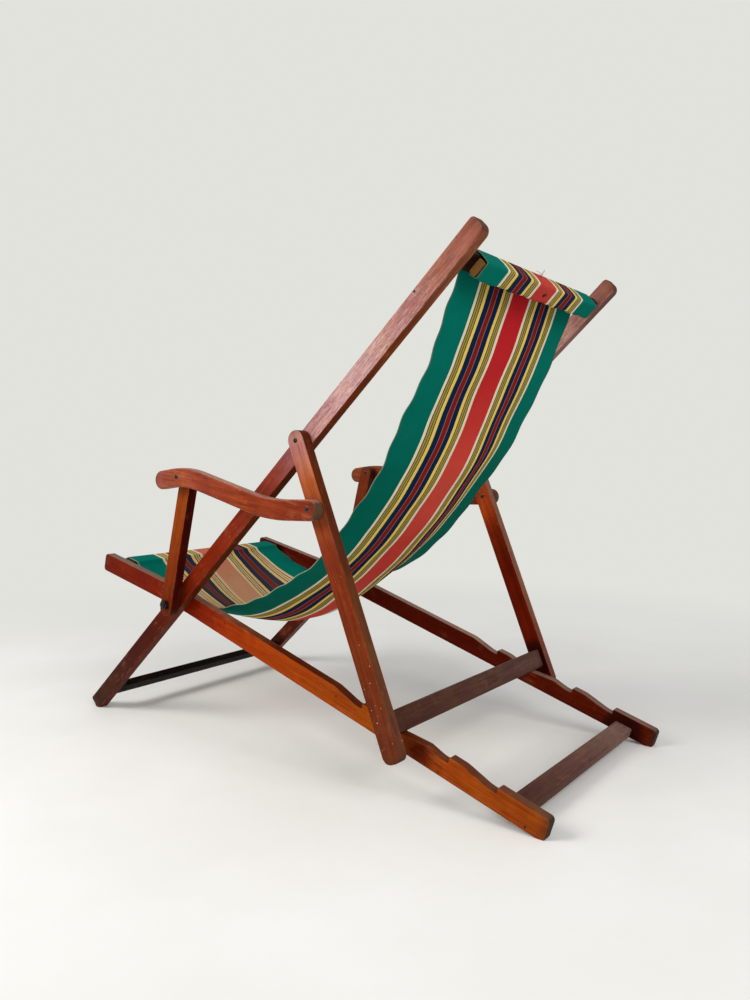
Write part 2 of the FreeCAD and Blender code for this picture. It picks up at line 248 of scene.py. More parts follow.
melted = node(tree, "MixShader", {0: melt, 1: shader.outputs[0], 2: wall_glow}).outputs[0]
tree.links.new(melted, tree.nodes["Material Output"].inputs["Surface"])
floor_mesh.materials.append(floor_paint)
floor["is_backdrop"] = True
print("floor", 2 * floor_reach, "m across")

# %% World and lamps
world = bpy.data.worlds.new("studio")
bpy.context.scene.world = world
world.use_nodes = True
tree = world.node_tree
tree.nodes.clear()
fill = node(tree, "Background", {"Color": (0.96, 0.98, 1.0, 1), "Strength": 0.50}).outputs[0]
wall = node(tree, "Background", {"Color": wall_tone, "Strength": 1.0}).outputs[0]
shown = node(tree, "MixShader", {0: seen_share(tree), 1: fill, 2: wall}).outputs[0]
node(tree, "OutputWorld", {"Surface": shown})
chair_middle = Vector((0, 0, 0.4))


def lamp(name, place, size, power, colour):
    """A soft square lamp at a place, turned to the chair's middle."""
    data = bpy.data.lights.new(name, "AREA")
    data.size, data.energy, data.color = size, power, colour
    made = add_object(name, data)
    made.location = place
    made.rotation_euler = (chair_middle - Vector(place)).to_track_quat("-Z", "Y").to_euler()


lamp("window_lamp", (2.7, -1.7, 2.3), 1.7, 94, (1.0, 0.98, 0.95))
lamp("rear_lamp", (0.8, 3.2, 2.6), 2.4, 70, (1.0, 0.99, 0.98))
bpy.context.scene.view_settings.view_transform = "Standard"

# %% [markdown]
# ## Side measures
# Every stick lies in a plane seen from the side. The joints of the frame give the pivots, and the line
# between two pivots gives a stick's slope. Points are then named by a distance along a stick from its
# pivot and a distance across it. The same few numbers place the nails and turn the grain.

# %% Pivots and slopes
def box_middle(name):
    """The side place (y, z) of the middle of a CAD node."""
    low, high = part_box(name)
    return np.array(((low[1] + high[1]) / 2, (low[2] + high[2]) / 2))


def slope_between(start, end):
    """The slope, in radians, of the line from one side place to another."""
    return math.atan2(end[1] - start[1], end[0] - start[0])


pivots = {joint["name"]: np.array(joint["pos_m"][1:]) for joint in frame["joints"]}
main_pivot, prop_pivot, rear_arm_pivot = pivots["seat_fold"], pivots["prop_fold"], pivots["left_arm_fold"]
front_arm_pivot = box_middle("left_post_rivet")
stile_slope = slope_between(main_pivot, prop_pivot)
leg_slope = slope_between(prop_pivot, rear_arm_pivot)
post_slope = slope_between(main_pivot, front_arm_pivot)
arm_slope = slope_between(front_arm_pivot, rear_arm_pivot)
rail_slope, rail_front_slope = math.radians(-17.3), math.radians(-12.8)


def side_point(pivot, slope, along, across):
    """The side place of a point along a stick from its pivot and across it, upward."""
    c, s = math.cos(slope), math.sin(slope)
    return np.array((pivot[0] + along * c - across * s, pivot[1] + along * s + across * c))


def node_points(name):
    """The corner points of a CAD node's mesh."""
    flat = np.zeros(3 * len(nodes[name].data.vertices), np.float32)
    nodes[name].data.vertices.foreach_get("co", flat)
    return flat.reshape(-1, 3)


def reach(name, slope):
    """Where a stick starts and ends along its own slope, measured from the world's origin."""
    points = node_points(name)
    along = points[:, 1] * math.cos(slope) + points[:, 2] * math.sin(slope)
    return float(along.min()), float(along.max())


print("slopes", [round(math.degrees(s), 1) for s in (stile_slope, leg_slope, post_slope, arm_slope)])

# %% [markdown]
# ## Varnished wood
# The side sticks are stained red-brown and varnished. Sun and hands have bleached their flat faces, more
# at some ends than others, while the narrow edges kept a darker stain and the end grain drank it up. Part
# of the pale pink near the stile tops and the pale stretches on rail and armrest edges are painted sheen,
# and the dark rings round the bar ends are painted shade.
# The grain must run along each stick, so the texture space is turned by the stick's slope and squeezed:
# many steps across, few along. The object's own normal tells a flat face from an edge or an end. No
# unwrapping is needed, and it works on any CAD mesh.

# %% Grain space
class Stick:
    """The shader tree of one stick or bar, with a texture space turned along its grain."""

    def __init__(self, name, slope, ends, seed):
        self.material, self.tree, self.shader = new_finish(name)
        self.ends = ends
        own = node(self.tree, "TexCoord").outputs
        self.place = own["Object"]
        if slope is None:
            turn, grain = (0, 0, math.radians(90)), (1, 0, 0)
        else:
            turn, grain = (-slope, 0, 0), (0, math.cos(slope), math.sin(slope))
        turned = node(self.tree, "Mapping", {"Vector": self.place, "Rotation": turn}).outputs[0]
        shift = (seed, 3.1 * seed, 1.7 * seed)
        self.local = node(self.tree, "Mapping", {"Vector": turned, "Location": shift}).outputs[0]
        self.run = node(self.tree, "SeparateXYZ", {0: turned}).outputs[1]
        self.sideways = node(self.tree, "SeparateXYZ", {0: own["Normal"]}).outputs[0]
        self.flatness = calc(self.tree, "ABSOLUTE", self.sideways)
        facing = node(self.tree, "VectorMath", {0: own["Normal"], 1: grain}, operation="DOT_PRODUCT")
        endways = calc(self.tree, "ABSOLUTE", facing.outputs["Value"])
        self.end_share = between(self.tree, endways, 0.35, 0.7)

    def streaks(self, across, along, detail=3.0):
        """Noise drawn out along the grain, with so many steps in a metre across it and along it."""
        squeezed = node(self.tree, "Mapping", {"Vector": self.local, "Scale": (across, along, across)})
        return noise(self.tree, squeezed.outputs[0], 1.0, detail, 0.6)

    def hairlines(self, across, along, lean):
        """Thin lines along the grain, leaned from it by an angle."""
        leaned = node(self.tree, "Mapping", {"Vector": self.local, "Rotation": (lean, 0, 0)}).outputs[0]
        squeezed = node(self.tree, "Mapping", {"Vector": leaned, "Scale": (across, along, across)})
        level = calc(self.tree, "SUBTRACT", noise(self.tree, squeezed.outputs[0], 1.0, 1.0), 0.5)
        return between(self.tree, calc(self.tree, "ABSOLUTE", level), 0.045, 0.012)


print("grain space ready")

# %% [markdown]
# ## Wood, layer by layer
# The finish is laid on in the order in which the chair got it: stain, grain, wear, sun, dirt. The sun
# layer is partly painted sheen, and the dirt layer ends with painted shade round the bars. Each layer is
# a short function that takes the colour so far and gives back the next one, so that a layer can be left
# out or looked at alone. A rounded normal finds the corners that hands and floors rub pale.

# %% Stain and grain
def stain_and_grain(stick, tones, edge_tones):
    """Stain tones along the stick, others on its edges, then the light and dark of the grain."""
    tree = stick.tree
    low, high = stick.ends
    stick.blotch = noise(tree, stick.local, 11.0, 4.0, 0.6)
    share = node(tree, "MapRange", {"Value": stick.run, "From Min": low, "From Max": high}).outputs[0]
    share = calc(tree, "MULTIPLY_ADD", stick.blotch, 0.10, calc(tree, "SUBTRACT", share, 0.05))
    colour = colour_steps(tree, share, tones)
    if edge_tones is not None:
        edge_colour = colour_steps(tree, share, edge_tones)
        colour = mix(tree, between(tree, stick.flatness, 0.55, 0.85), edge_colour, colour)
    bands = stick.streaks(120, 4.0)
    stick.fibres = stick.streaks(420, 14, 4.0)
    tone = calc(tree, "MULTIPLY_ADD", stick.fibres, 1.1, times(tree, bands, 1.1))
    tone = calc(tree, "MULTIPLY_ADD", stick.blotch, 0.4, calc(tree, "SUBTRACT", tone, 0.80), clamp=True)
    grain_tint = mix(tree, tone, (0.58, 0.48, 0.44, 1), (1.36, 1.42, 1.46, 1))
    colour = mix(tree, 1.0, colour, grain_tint, "MULTIPLY")
    sunned = between(tree, noise(tree, stick.local, 21.0, 3.0), 0.42, 0.66)
    sun_tint = mix(tree, sunned, (0.94, 0.90, 0.94, 1), (1.08, 1.13, 0.97, 1))
    colour = mix(tree, 1.0, colour, sun_tint, "MULTIPLY")
    stick.pores = between(tree, stick.streaks(900, 26, 1.0), 0.60, 0.72)
    return cover(tree, colour, srgb(40, 14, 8), stick.pores, 0.5)


print("stain and grain ready")

# %% Rubs and scratches
rub_radius = 0.0030
scuffed = srgb(206, 130, 80)


def rub_and_scratch(stick, colour, wear):
    """Rubbed corners, pale and dark scratches along the grain, and small chips."""
    tree = stick.tree
    corner = corner_share(tree, rub_radius, 6, 0.985, 0.90)
    patchy = between(tree, stick.streaks(70, 24, 4.0), 0.46, 0.62)
    stick.rubbed = calc(tree, "MULTIPLY", times(tree, corner, patchy), wear, clamp=True)
    colour = cover(tree, colour, srgb(184, 128, 96), stick.rubbed, 0.8)
    scored = calc(tree, "MAXIMUM", stick.hairlines(130, 2.2, 0.0), stick.hairlines(110, 3.0, 0.12))
    where = between(tree, noise(tree, stick.local, 26.0, 3.0), 0.52, 0.72)
    colour = cover(tree, colour, scuffed, scored, where, 0.20 * wear)
    gouged = between(tree, noise(tree, stick.local, 19.0, 3.0), 0.44, 0.62)
    gouged = times(tree, stick.hairlines(150, 3.4, -0.07), gouged, 0.5 * wear)
    colour = mix(tree, gouged, colour, (0.62, 0.50, 0.48, 1), "MULTIPLY")
    chipped = between(tree, stick.streaks(330, 120, 2.0), 0.70, 0.76)
    return cover(tree, colour, scuffed, chipped, 0.4 * wear)


print("rubs and scratches ready")

# %% Sun bloom and painted sheen
tip_reach = 0.2


def bloom_and_painted_sheen(stick, colour, start, full):
    """Bleached, crazed and pitted varnish with painted sheen, from none at one distance along the stick to
    all at another.
    """
    tree = stick.tree
    low, tip = stick.ends
    bloom_and_sheen_share = between(tree, stick.run, low + start, low + full)
    on_face = times(tree, bloom_and_sheen_share, between(tree, stick.flatness, 0.7, 0.9))
    below_tip = times(tree, on_face, between(tree, stick.run, tip, tip - tip_reach))
    cloudy = calc(tree, "MULTIPLY_ADD", noise(tree, stick.local, 60.0, 5.0, 0.7), 1.2, 0.1)
    streaky = between(tree, stick.streaks(300, 30, 5.0), 0.44, 0.64)
    # partly painted sheen: the pale pink haze on the flat faces near the top is bleached varnish and
    # painted reflected light
    haze_and_sheen = times(tree, calc(tree, "MULTIPLY_ADD", streaky, 0.30, 0.02), cloudy, below_tip)
    colour = cover(tree, colour, srgb(232, 208, 202), haze_and_sheen)
    crazed = between(tree, stick.streaks(420, 150, 2.0), 0.57, 0.68)
    colour = cover(tree, colour, srgb(236, 214, 206), crazed, below_tip, 0.20)
    pitted = between(tree, stick.streaks(400, 95, 3.0), 0.53, 0.63)
    colour = cover(tree, colour, srgb(128, 72, 68), pitted, on_face, 0.42)
    return cover(tree, colour, srgb(226, 192, 178), stick.rubbed, bloom_and_sheen_share, 0.6)


print("sun bloom ready")

# %% Knocks, specks, grime and painted shade
grime_reach = 0.022
cells_per_metre = 150.0
# how far the painted shade round a bar end reaches: where it fades out and where it is full
bar_shade_edge, bar_shade_core = 0.052, 0.030


def knock_and_soil(stick, colour, end_tone):
    """Dark knocks, grime on the last two centimetres and dark end grain."""
    tree = stick.tree
    low, high = stick.ends
    stick.knocks = between(tree, stick.streaks(110, 70, 2.0), 0.69, 0.74)
    colour = cover(tree, colour, srgb(44, 18, 12), stick.knocks, 0.6)
    low_grime = between(tree, stick.run, low + grime_reach, low)
    high_grime = between(tree, stick.run, high - grime_reach, high)
    grimy = times(tree, calc(tree, "MAXIMUM", low_grime, high_grime), stick.blotch, 0.8)
    end_cover = calc(tree, "MAXIMUM", times(tree, stick.end_share, 0.92), grimy)
    return cover(tree, colour, end_tone, end_cover)


def paint_specks(stick, colour, start, full):
    """Pale spots of old paint, few at one distance along the stick and most at another."""
    tree = stick.tree
    low = stick.ends[0]
    dots = node(tree, "TexVoronoi", {"Vector": stick.local, "Scale": cells_per_metre}).outputs
    chance = node(tree, "SeparateColor", {0: dots["Color"]}).outputs
    radius = calc(tree, "MULTIPLY_ADD", chance[1], 0.18, 0.05)
    size = between(tree, calc(tree, "DIVIDE", dots["Distance"], radius), 1.0, 0.5)
    crowd = between(tree, stick.run, low + start, low + full)
    likely = calc(tree, "MULTIPLY_ADD", crowd, 0.16, chance[0])
    spot = times(tree, size, between(tree, likely, 0.97, 1.0))
    return cover(tree, colour, srgb(206, 180, 152), spot, 0.8)


def painted_bar_shade(stick, colour, bar_spots, inner_way):
    """Painted shade on the inner face, round each bar that enters the stick."""
    tree = stick.tree
    inner_face = between(tree, times(tree, stick.sideways, inner_way), 0.5, 0.8)
    side_place = node(tree, "VectorMath", {0: stick.place, 1: (0, 1, 1)}, operation="MULTIPLY").outputs[0]
    for spot in bar_spots:
        away = node(tree, "VectorMath", {0: side_place, 1: (0, *spot)}, operation="DISTANCE")
        bar_shade = times(tree, between(tree, away.outputs["Value"], bar_shade_edge, bar_shade_core), inner_face)
        # painted shade: a near-black ring round each bar end stands for the shade where the bar meets the
        # stick
        colour = cover(tree, colour, srgb(24, 6, 3), bar_shade, 0.75)
    return colour


print("knocks, specks and dirt ready")

# %% Wood finish
grain_relief = 0.0006


def wood(name, slope, ends, tones, edge_tones, end_tone, wear, gloss, seed, bloom_and_sheen=None, specks=None,
         bar_spots=(), inner_way=1):
    """Worn wood along a slope in the side plane, or across the chair where the slope is None."""
    stick = Stick(name, slope, ends, seed)
    tree = stick.tree
    colour = stain_and_grain(stick, tones, edge_tones)
    colour = rub_and_scratch(stick, colour, wear)
    if bloom_and_sheen is not None:
        colour = bloom_and_painted_sheen(stick, colour, *bloom_and_sheen)
    colour = knock_and_soil(stick, colour, end_tone)
    if specks is not None:
        colour = paint_specks(stick, colour, *specks)
    # painted shade round the bar ends
    if bar_spots:
        colour = painted_bar_shade(stick, colour, bar_spots, inner_way)
    dullness = calc(tree, "MULTIPLY_ADD", stick.fibres, 0.16, gloss - 0.08)
    bare = calc(tree, "MAXIMUM", stick.rubbed, stick.end_share)
    dullness = calc(tree, "MULTIPLY_ADD", bare, 0.25, dullness)
    height = calc(tree, "MULTIPLY_ADD", stick.fibres, 0.6, times(tree, stick.pores, -0.5))
    height = calc(tree, "MULTIPLY_ADD", stick.knocks, -0.9, height)
    wire(tree, stick.shader, colour, dullness, height, grain_relief, 0.3)
    stick.shader.inputs["Specular IOR Level"].default_value = 0.05
    stick.shader.inputs["Specular Tint"].default_value = (1.0, 0.45, 0.25, 1.0)
    return stick.material


def dress(name, material):
    """Give a CAD node one finish in place of the plain one it came with."""
    mesh = nodes[name].data
    mesh.materials.clear()
    mesh.materials.append(material)
    mesh.polygons.foreach_set("material_index", [0] * len(mesh.polygons))


print("wood finish ready")

# %% [markdown]
# ## Tones of the side sticks
# Each stick gets a few stain tones from one end to the other, as the chair shows them. The sitter's left
# side stood in the sun: its rail and leg are orange, its stile is bloomed pink near the top, partly as
# painted sheen, and its toe is dark. The right side is still the old deep red. Flat faces, narrow edges
# and end grain took the stain in different ways, so each has its own list. Some tones are painted light:
# a painted shadow of the leg on the left rail, and painted sheen in the pale rail and armrest edges.

# %% Tones of the flat faces
left_tones = {
    # the pale pink toward the top is partly sun-bleached stain and partly painted sheen of reflected light
    "back_stile": [(0.0, srgb(50, 28, 20)), (0.20, srgb(70, 17, 5)), (0.42, srgb(120, 32, 6)),
                   (0.58, srgb(134, 56, 40)), (0.68, srgb(174, 120, 122)), (0.76, srgb(188, 148, 147)),
                   (0.84, srgb(172, 122, 118)), (0.91, srgb(150, 92, 78)), (1.0, srgb(142, 82, 66))],
    # the dark dip between 0.75 and 0.825, beside the prop leg, is painted shadow that the leg casts on the
    # rail
    "seat_rail": [(0.0, srgb(102, 20, 0)), (0.30, srgb(122, 26, 0)), (0.45, srgb(152, 56, 2)),
                  (0.70, srgb(154, 70, 10)), (0.75, srgb(148, 64, 10)), (0.775, srgb(84, 22, 2)),
                  (0.795, srgb(92, 28, 4)), (0.825, srgb(148, 64, 12)), (1.0, srgb(138, 62, 14))],
    "prop_leg": [(0.0, srgb(176, 122, 118)), (0.09, srgb(174, 108, 92)), (0.16, srgb(168, 86, 46)),
                 (0.37, srgb(120, 46, 24)), (0.65, srgb(114, 46, 18)), (1.0, srgb(98, 46, 26))],
    "arm_post": [(0.0, srgb(104, 32, 2)), (0.7, srgb(132, 56, 8)), (1.0, srgb(148, 70, 14))],
    "armrest": [(0.0, srgb(134, 76, 68)), (0.10, srgb(144, 72, 50)), (0.25, srgb(150, 68, 44)),
                (0.38, srgb(126, 52, 34)), (0.6, srgb(140, 58, 30)), (1.0, srgb(122, 46, 26))]}
right_tones = {
    "back_stile": [(0.0, srgb(72, 26, 14)), (0.55, srgb(96, 34, 20)), (0.8, srgb(178, 150, 144)),
                   (0.88, srgb(156, 114, 104)), (1.0, srgb(134, 84, 72))],
    "seat_rail": [(0.0, srgb(70, 8, 0)), (0.6, srgb(92, 18, 2)), (1.0, srgb(84, 22, 8))],
    "prop_leg": [(0.0, srgb(146, 60, 28)), (0.35, srgb(134, 46, 14)), (0.55, srgb(108, 22, 3)),
                 (1.0, srgb(110, 24, 4))],
    "arm_post": [(0.0, srgb(92, 30, 10)), (1.0, srgb(120, 50, 24))],
    "armrest": [(0.0, srgb(140, 74, 44)), (0.5, srgb(120, 48, 28)), (1.0, srgb(112, 46, 28))]}
print("tones of the left faces", [len(tones) for tones in left_tones.values()])

# %% Tones of the edges and ends
left_edges = {
    "back_stile": [(0.0, srgb(86, 30, 10)), (0.6, srgb(92, 34, 10)), (0.85, srgb(112, 52, 24)),
                   (1.0, srgb(124, 72, 46))],
    # the pale stretch toward the front is painted sheen of reflected sky on the rail's top face
    "seat_rail": [(0.0, srgb(116, 92, 78)), (0.22, srgb(116, 82, 64)), (0.3, srgb(122, 68, 44)),
                  (0.4, srgb(116, 62, 38)), (0.48, srgb(80, 26, 8)), (0.8, srgb(92, 40, 14)),
                  (1.0, srgb(98, 60, 36))],
    "prop_leg": [(0.0, srgb(84, 32, 12)), (0.4, srgb(88, 40, 18)), (0.7, srgb(102, 58, 34)),
                 (1.0, srgb(94, 54, 40))],
    "arm_post": [(0.0, srgb(66, 12, 8))],
    # the pale edge tone is partly wear and partly painted sheen on the armrest's top face
    "armrest": [(0.0, srgb(156, 108, 94))]}
right_edges = {
    "back_stile": [(0.0, srgb(104, 64, 56)), (0.86, srgb(128, 90, 82)), (0.90, srgb(124, 86, 78)),
                   (0.93, srgb(102, 60, 54))],
    # the pale pink of the edges, brightest in the middle, is painted sheen on the rail's top face
    "seat_rail": [(0.0, srgb(118, 84, 74)), (0.55, srgb(154, 120, 102)), (0.8, srgb(118, 84, 74))],
    "prop_leg": [(0.0, srgb(122, 84, 66)), (0.6, srgb(124, 80, 60)), (0.8, srgb(110, 58, 40))],
    "arm_post": [(0.0, srgb(70, 24, 14))],
    "armrest": [(0.0, srgb(110, 56, 42))]}
end_tones = {"back_stile": srgb(78, 50, 40), "seat_rail": srgb(46, 40, 30), "prop_leg": srgb(64, 44, 34),
             "arm_post": srgb(66, 40, 26), "armrest": srgb(70, 58, 42)}
print("tones of the left edges", [len(tones) for tones in left_edges.values()])

# %% Dress the side sticks
stick_slopes = {"back_stile": stile_slope, "seat_rail": rail_slope, "prop_leg": leg_slope,
                "arm_post": post_slope, "armrest": arm_slope}
# where the bloom with its painted sheen starts and where it is full, along the stiles
stick_bloom_and_sheen, stick_specks = {"back_stile": (0.80, 0.98)}, {"prop_leg": (0.25, 0.62)}
stick_bars = {"back_stile": ("foot_bar",), "seat_rail": ("front_bar", "rear_bar"),
              "prop_leg": ("prop_bar",)}
stick_wear = {"back_stile": 1.0, "seat_rail": 0.6, "prop_leg": 0.6, "arm_post": 0.6, "armrest": 1.2}
sides = (("left", left_tones, left_edges, -1, 0.37), ("right", right_tones, right_edges, 1, 2.27))
for side, tones, edges, inner_way, first_seed in sides:
    for number, (stick, slope) in enumerate(stick_slopes.items()):
        name = side + "_" + stick
        bar_spots = [tuple(box_middle(bar)) for bar in stick_bars.get(stick, ())]
        finish = wood(name + "_wood", slope, reach(name, slope), tones[stick], edges[stick],
                      end_tones[stick], wear=stick_wear[stick], gloss=0.38, seed=first_seed + 0.61 * number,
                      bloom_and_sheen=stick_bloom_and_sheen.get(stick), specks=stick_specks.get(stick), bar_spots=bar_spots,
                      inner_way=inner_way)
        dress(name, finish)
print("side sticks dressed", 2 * len(stick_slopes))

# %% [markdown]
# ## Cross bars
# The bars between the sides carry an older, darker stain that has gone matt. Their grain runs across
# the chair. The batten in the top hem was never stained: its bare end shows beside the canvas.

# %% Dress the cross bars
bar_tones = {
    "prop_bar": [(0.0, srgb(86, 60, 54)), (1.0, srgb(74, 46, 34))],
    "rear_bar": [(0.0, srgb(126, 100, 90)), (0.25, srgb(106, 78, 69)), (0.5, srgb(94, 64, 55)),
                 (1.0, srgb(66, 40, 32))],
    "foot_bar": [(0.0, srgb(20, 19, 17)), (1.0, srgb(13, 12, 10))],
    "top_bar": [(0.0, srgb(30, 17, 13)), (1.0, srgb(26, 15, 11))],
    "front_bar": [(0.0, srgb(48, 34, 28)), (1.0, srgb(40, 28, 22))],
    "top_batten": [(0.0, srgb(186, 142, 92)), (1.0, srgb(176, 128, 76))]}
dark_end, batten_end = srgb(38, 26, 20), srgb(140, 96, 52)
for number, (name, tones) in enumerate(bar_tones.items()):
    low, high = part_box(name)
    end_tone = batten_end if name == "top_batten" else dark_end
    finish = wood(name + "_wood", None, (low[0], high[0]), tones, None, end_tone, wear=0.45, gloss=0.55,
                  seed=4.2 + 0.7 * number)
    dress(name, finish)
print("bars dressed", len(bar_tones))

# %% [markdown]
# ## Dark steel
# Bolts, nuts, rivets and spacers are plain steel gone brown-black, brighter where something rubs. Each
# rivet head has a screw slot. A slot is a narrow band through the pivot's own point, so each pivot gets
# its own copy of the finish with that point typed in.

# %% Steel finish
rim_radius, steel_relief = 0.0009, 0.0004
slot_edge, slot_core = 0.0008, 0.0005


def steel(name, pivot=None, slot_turn=0.0):
    """Dark oxidised steel, with a slot across the head where a pivot's (y, z) is given."""
    material, tree, shader = new_finish(name)
    place = node(tree, "TexCoord").outputs["Object"]
    grime = noise(tree, place, 420.0, 4.0, 0.65)
    rubbed = between(tree, noise(tree, place, 900.0, 3.0), 0.52, 0.72)
    rim = corner_share(tree, rim_radius, 4, 0.98, 0.84)
    bright = calc(tree, "MAXIMUM", times(tree, rim, 0.3), times(tree, rubbed, 0.14))
    colour = mix(tree, grime, srgb(20, 16, 16), srgb(40, 32, 29))
    colour = cover(tree, colour, srgb(140, 132, 124), bright)
    height = times(tree, grime, 0.4)
    if pivot is not None:
        at = node(tree, "SeparateXYZ", {0: place}).outputs
        off_y = times(tree, calc(tree, "SUBTRACT", at[1], pivot[0]), -math.sin(slot_turn))
        off_z = times(tree, calc(tree, "SUBTRACT", at[2], pivot[1]), math.cos(slot_turn))
        off_line = calc(tree, "ABSOLUTE", calc(tree, "ADD", off_y, off_z))
        slot = between(tree, off_line, slot_edge, slot_core)
        colour = cover(tree, colour, srgb(12, 10, 9), slot)
        height = calc(tree, "SUBTRACT", height, slot)
    dullness = calc(tree, "MULTIPLY_ADD", grime, 0.3, 0.28)
    wire(tree, shader, colour, dullness, height, steel_relief, 0.5)
    shader.inputs["Metallic"].default_value = 0.75
    return material


print("steel finish ready")

# %% Dress the steel
plain_steel = steel("plain_steel")
slotted_steel = {"prop_rivet": steel("prop_steel", prop_pivot, 0.9),
                 "arm_rear_rivet": steel("rear_arm_steel", rear_arm_pivot, 0.3),
                 "arm_front_rivet": steel("front_arm_steel", front_arm_pivot, 1.25)}
slotted_steel["post_rivet"] = slotted_steel["arm_front_rivet"]
steel_names = ("pivot_bolt", "pivot_nut", "rail_spacer", "post_spacer", "prop_spacer", "arm_rear_spacer",
               "arm_front_spacer", *slotted_steel)
for side in ("left", "right"):
    for name in steel_names:
        dress(side + "_" + name, slotted_steel.get(name, plain_steel))
print("steel dressed", 2 * len(steel_names))

# %% [markdown]
# ## The canvas's line
# One strip of canvas goes under and over the front bar, hangs down behind it as the seat, rises as the
# back, and goes over the top bar and its batten. Seen from the side it is one line: straight runs round
# the bars and a hanging line between them. The hanging line is given by a few points in millimetres, back
# from the main pivot and up from the floor, then evened out and smoothed, as tension does to real cloth.

# %% Line helpers
def even_steps(points, step):
    """The same line with its points spread evenly."""
    points = np.array(points)
    gaps = np.linalg.norm(np.diff(points, axis=0), axis=1)
    run = np.concatenate(([0], np.cumsum(gaps)))
    marks = np.linspace(0, run[-1], max(2, round(run[-1] / step)) + 1)
    return np.stack([np.interp(marks, run, points[:, i]) for i in range(2)], axis=1)


def smoothed(values, spread):
    """A running average over a spread counted in points, which leaves the two ends where they are."""
    span = np.arange(-3 * spread, 3 * spread + 1)
    weights = np.exp(-0.5 * (span / spread) ** 2)
    weights /= weights.sum()
    padded = np.pad(values, ((3 * spread, 3 * spread), (0, 0)), mode="reflect", reflect_type="odd")
    averaged = [np.convolve(column, weights, mode="valid") for column in padded.T]
    return np.stack(averaged, axis=1)


print("line helpers ready")

# %% Places that the canvas goes round
# the cloth's thickness, and how far its middle stands off the wood
cloth, lift = 0.0013, 0.0013
# the sides of the bars, along a stick from the main pivot and across it
front_along, front_across = (-0.249, -0.213), (-0.002, 0.017)
top_along, top_across, batten_back = (0.908, 0.942), (-0.009, 0.009), -0.023
front_under, front_over = front_across[0] - lift, front_across[1] + lift
front_spots = [(front_along[1] - 0.003, front_under), (front_along[0] - lift, front_under),
               (front_along[0] - lift, front_over), (front_along[1] + lift, front_over)]
top_spots = [(top_along[0] - lift, top_across[1] + lift), (top_along[1] + lift, top_across[1] + lift),
             (top_along[1] + 0.0025, top_across[0]), (top_along[1] + 0.001, batten_back - 0.0032),
             (top_along[0] + 0.0015, batten_back - 0.0048), (top_along[0] - lift, top_across[0] - 0.003)]
front_line = [side_point(main_pivot, rail_front_slope, *spot) for spot in front_spots]
top_line = [side_point(main_pivot, stile_slope, *spot) for spot in top_spots]
print("spots round the bars", len(front_line), "and", len(top_line))

# %% Side line of the canvas
hanging = [(-196, 329), (-98, 287), (25, 256), (100, 267), (180, 297), (266, 333), (330, 372), (400, 438),
           (460, 512), (510, 584), (550, 664), (601, 752), (640, 848)]
hung_points = [(main_pivot[0] + y / 1000, z / 1000) for y, z in hanging]
row_step, crease_reach = 0.005, 0.03
hung_line = even_steps([front_line[-1], *hung_points, top_line[0]], row_step)
creased = np.exp(-row_step * np.arange(len(hung_line)) / crease_reach)[:, None]
hung = creased * smoothed(hung_line, 2) + (1 - creased) * smoothed(hung_line, 7)
fine_step, wrap_step = 0.0007, 0.0022
front_rows = even_steps(smoothed(even_steps(front_line, fine_step), 3), wrap_step)
top_rows = even_steps(smoothed(even_steps(top_line, fine_step), 3), wrap_step)
print("hanging line", round(row_step * (len(hung) - 1), 3), "m")

# %% [markdown]
# ## The canvas sheet
# The sheet is a grid: rows along the line and columns across the chair. The wraps round the bars are the
# same in every column, but for a slight droop behind the batten. In the hanging part each column is the
# line pushed outward by the bag, which is deepest at the seat's middle from years of sitting. The selvages
# have stretched into small waves, and the right one, far from the camera, hangs a little tighter than the
# near one. A cloth simulation would also sag, but it can't be steered to the stretched shape of one old
# canvas, so the sag is given as a list of depths.

# %% Bag, waves and roll
share = np.linspace(0, 1, len(hung))
along = share * row_step * (len(hung) - 1)
heading = np.gradient(hung, axis=0)
heading /= np.linalg.norm(heading, axis=1)[:, None]
outward = np.stack((heading[:, 1], -heading[:, 0]), axis=1)
bag_share = (0, 0.06, 0.15, 0.25, 0.33, 0.40, 0.47, 0.55, 0.75, 0.84, 1)
bag_depth = (0, 0.010, 0.042, 0.063, 0.055, 0.033, 0.017, 0.013, 0.012, 0.001, 0)
bag = smoothed(np.interp(share, bag_share, bag_depth)[:, None], 6)[:, 0]
near_power = np.interp(share, (0.42, 0.58), (1.45, 2.4))
tied_share = 0.05
held = np.clip(np.minimum(share, 1 - share) / tied_share, 0, 1)
short_wave = 0.0014 * np.sin(2 * math.pi * (along - 0.031) / 0.066)
near_wave = held * (short_wave + 0.0022 * np.sin(along * 31 + 1.4))
far_wave = held * 0.0010 * np.sin(2 * math.pi * along / 0.09 + 2)
far_tight = 0.012 * np.exp(-((share - 0.565) / 0.135) ** 4)
far_curl = 0.004 * held * np.interp(share, (0.5, 0.62), (0, 1))
stile_way = np.array((math.cos(stile_slope), math.sin(stile_slope)))
roll_reach = (top_rows - main_pivot) @ stile_way
behind_batten = np.arange(len(top_rows)) > np.argmax(roll_reach)
down_share = behind_batten * np.clip((top_along[1] - roll_reach) / (top_along[1] - top_along[0]), 0, 1)
print("deepest bag", round(float(bag.max()), 3), "m, rows behind the batten", int(behind_batten.sum()))

